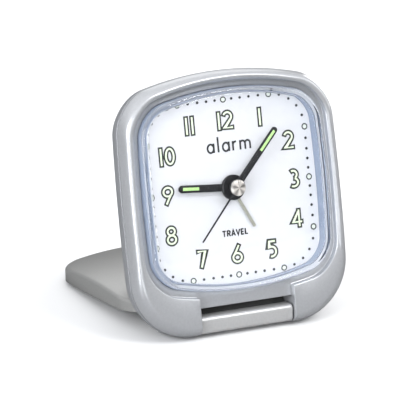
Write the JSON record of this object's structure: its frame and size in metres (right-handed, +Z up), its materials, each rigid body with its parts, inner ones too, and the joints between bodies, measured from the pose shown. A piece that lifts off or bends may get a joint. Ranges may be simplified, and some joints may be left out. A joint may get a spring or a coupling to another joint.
{
  "type": "travel alarm clock",
  "caption": "Rounded-square travel alarm clock leaning back on a hinged cover that has been swung round behind it as a stand.",
  "frame": {"origin": "centre of the bounding box of the opened clock, on the surface it stands on", "axes": "+Z up, -Y the way the dial faces, +X to the reader's right along the hinge"},
  "size_m": [0.0742, 0.0778, 0.0784],
  "materials": {
    "satin_silver": "satin metallic paint",
    "shell_silver": "satin",
    "lens_clear": "polished",
    "dial_white": "printed",
    "hand_black": "satin",
    "hand_khaki": "matte",
    "lume_green": "matte",
    "needle_steel": "polished",
    "cap_silver": "turned",
    "pin_steel": "plain",
    "gear_white": "moulded",
    "brass": "plain",
    "magnet": "sintered",
    "iron": "stamped",
    "winding": "enamel",
    "board_green": "laminate",
    "crystal_can": "drawn",
    "black_plastic": "moulded",
    "cell_jacket": "printed film",
    "nickel": "plated",
    "knob_grey": "ribbed"
  },
  "bodies": {
    "case": {"front_housing": "satin_silver", "rear_housing": "shell_silver", "lens": "lens_clear", "dial": "dial_white", "hinge_pin": "pin_steel", "stator": "iron", "coil": "winding", "movement_front_plate": "gear_white", "movement_back_plate": "gear_white", "movement_screws": "pin_steel", "circuit_board": "board_green", "quartz_crystal": "crystal_can", "chip": "black_plastic", "buzzer": "black_plastic", "battery": "cell_jacket", "positive_contact": "nickel", "negative_spring": "nickel", "case_screws": "pin_steel"},
    "cover": {"cover": "satin_silver"},
    "minutes": {"minute_hand": "hand_black", "minute_lume": "lume_green", "minute_pipe": "brass", "clutch_washer": "brass"},
    "motion": {"motion_wheel": "gear_white"},
    "hours": {"hour_hand": "hand_black", "hour_lume": "lume_green", "hour_wheel": "gear_white"},
    "time_setting": {"time_set_gear": "gear_white", "time_set_knob": "knob_grey"},
    "seconds": {"second_hand": "needle_steel", "hub_cap": "cap_silver", "second_wheel": "gear_white"},
    "third": {"third_wheel": "gear_white"},
    "centre": {"centre_wheel": "gear_white"},
    "intermediate": {"intermediate_wheel": "gear_white"},
    "rotor": {"rotor": "magnet"},
    "alarm": {"alarm_hand": "hand_khaki", "alarm_wheel": "gear_white"},
    "alarm_setting": {"alarm_set_gear": "gear_white", "alarm_set_knob": "knob_grey"},
    "alarm_slider": {"alarm_switch": "knob_grey"},
    "door": {"battery_door": "shell_silver"}
  },
  "joints": [
    {"name": "cover_hinge", "type": "hinge", "parent": "case", "child": "cover", "pos_m": [0, -0.03454, 0.00396], "axis": [-1, 0, 0], "range_deg": [0, 278.7]},
    {"name": "minute_spin", "type": "hinge", "parent": "case", "child": "minutes", "pos_m": [0, -0.0243, 0.04315], "axis": [0, 0.9711, -0.2385], "continuous": true},
    {"name": "motion_spin", "type": "hinge", "parent": "case", "child": "motion", "pos_m": [0.001, -0.02595, 0.03642], "axis": [0, 0.9711, -0.2385], "continuous": true},
    {"name": "hour_spin", "type": "hinge", "parent": "case", "child": "hours", "pos_m": [0, -0.0243, 0.04315], "axis": [0, 0.9711, -0.2385], "continuous": true},
    {"name": "time_set_spin", "type": "hinge", "parent": "case", "child": "time_setting", "pos_m": [0.00832, -0.02609, 0.03587], "axis": [0, 0.9711, -0.2385], "continuous": true},
    {"name": "second_spin", "type": "hinge", "parent": "case", "child": "seconds", "pos_m": [0, -0.0243, 0.04315], "axis": [0, 0.9711, -0.2385], "continuous": true},
    {"name": "third_spin", "type": "hinge", "parent": "case", "child": "third", "pos_m": [-0.00698, -0.02418, 0.04362], "axis": [0, 0.9711, -0.2385], "continuous": true},
    {"name": "centre_spin", "type": "hinge", "parent": "case", "child": "centre", "pos_m": [0, -0.0243, 0.04315], "axis": [0, 0.9711, -0.2385], "continuous": true},
    {"name": "intermediate_spin", "type": "hinge", "parent": "case", "child": "intermediate", "pos_m": [0.00709, -0.024, 0.04436], "axis": [0, 0.9711, -0.2385], "continuous": true},
    {"name": "rotor_spin", "type": "hinge", "parent": "case", "child": "rotor", "pos_m": [0.01312, -0.02375, 0.04539], "axis": [0, 0.9711, -0.2385], "continuous": true},
    {"name": "alarm_spin", "type": "hinge", "parent": "case", "child": "alarm", "pos_m": [0, -0.0243, 0.04315], "axis": [0, 0.9711, -0.2385], "continuous": true},
    {"name": "alarm_set_spin", "type": "hinge", "parent": "case", "child": "alarm_setting", "pos_m": [-0.00832, -0.02609, 0.03587], "axis": [0, 0.9711, -0.2385], "continuous": true},
    {"name": "alarm_switch_slide", "type": "slide", "parent": "case", "child": "alarm_slider", "axis": [1, 0, 0], "range_m": [0, 0.004]},
    {"name": "battery_door_lift", "type": "slide", "parent": "case", "child": "door", "axis": [0, 0.9711, -0.2385], "range_m": [0, 0.012]}
  ],
  "couplings": [
    {"joint": "motion_spin", "follows": "minute_spin", "ratio": -0.33333},
    {"joint": "hour_spin", "follows": "minute_spin", "ratio": 0.083333},
    {"joint": "time_set_spin", "follows": "minute_spin", "ratio": 0.83333},
    {"joint": "third_spin", "follows": "second_spin", "ratio": -0.125},
    {"joint": "centre_spin", "follows": "second_spin", "ratio": 0.016667},
    {"joint": "intermediate_spin", "follows": "second_spin", "ratio": -5},
    {"joint": "rotor_spin", "follows": "second_spin", "ratio": 30},
    {"joint": "alarm_set_spin", "follows": "alarm_spin", "ratio": -0.75}
  ]
}
